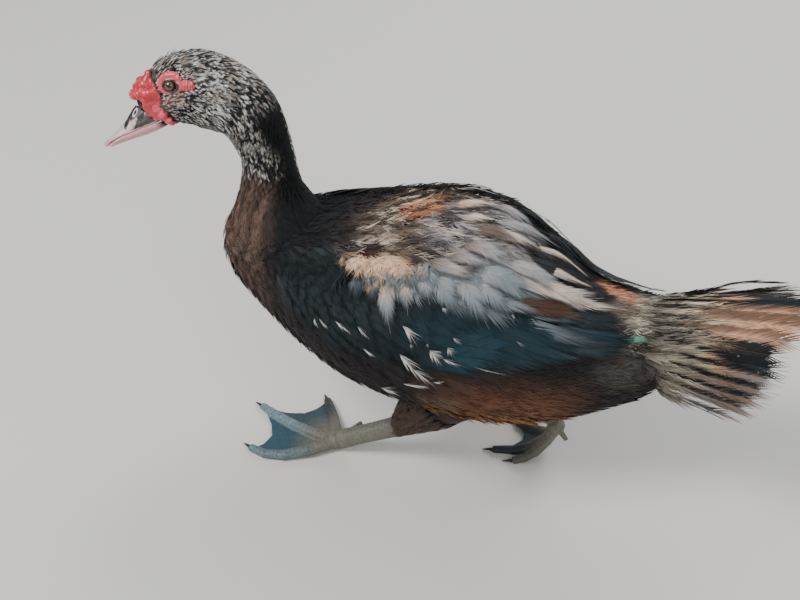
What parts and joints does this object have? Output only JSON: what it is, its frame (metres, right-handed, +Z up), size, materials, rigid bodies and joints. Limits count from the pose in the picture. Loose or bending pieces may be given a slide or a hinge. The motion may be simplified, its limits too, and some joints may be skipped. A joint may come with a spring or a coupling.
{
  "type": "muscovy duck",
  "caption": "Still life-size model of a young domestic muscovy duck in mid step, left foot planted and right heel raised, with folded wings and a fanned tail",
  "frame": {"origin": "on the floor below the middle of the bird", "axes": "+X towards the tail, +Y towards the bird's right side, +Z up; the bill points to -X"},
  "size_m": [0.6292, 0.2384, 0.3994],
  "materials": {
    "body_feathers": "matte feathers, black with worn brown and cream patches",
    "wing_feathers": "satin feathers, dark teal with silver grey and rufous",
    "tail_feathers": "worn matte feathers, brown with dark gaps",
    "head_feathers": "matte short feathers, mottled black and grey white",
    "red_skin": "moist bare skin, coral red and warty",
    "bill": "horn, pinkish grey with a black saddle",
    "eye": "wet, brown iris and dark pupil",
    "foot_skin": "scaly skin, dusty blue grey",
    "claw": "dark horn"
  },
  "bodies": {
    "root": {"torso": "body_feathers", "neck": "body_feathers", "eye_left": "eye", "eye_right": "eye", "bill_upper": "bill", "bill_lower": "bill", "caruncle": "red_skin", "eyelid_left": "red_skin", "eyelid_right": "red_skin", "head": "head_feathers", "foot_left": "foot_skin", "claw_left_2": "claw", "claw_left_3": "claw", "claw_left_4": "claw", "shank_left": "foot_skin", "thigh_left": "body_feathers", "foot_right": "foot_skin", "claw_right_2": "claw", "claw_right_3": "claw", "claw_right_4": "claw", "shank_right": "foot_skin", "thigh_right": "body_feathers", "wing_left": "wing_feathers", "wing_right": "wing_feathers", "tail": "tail_feathers"}
  },
  "joints": []
}
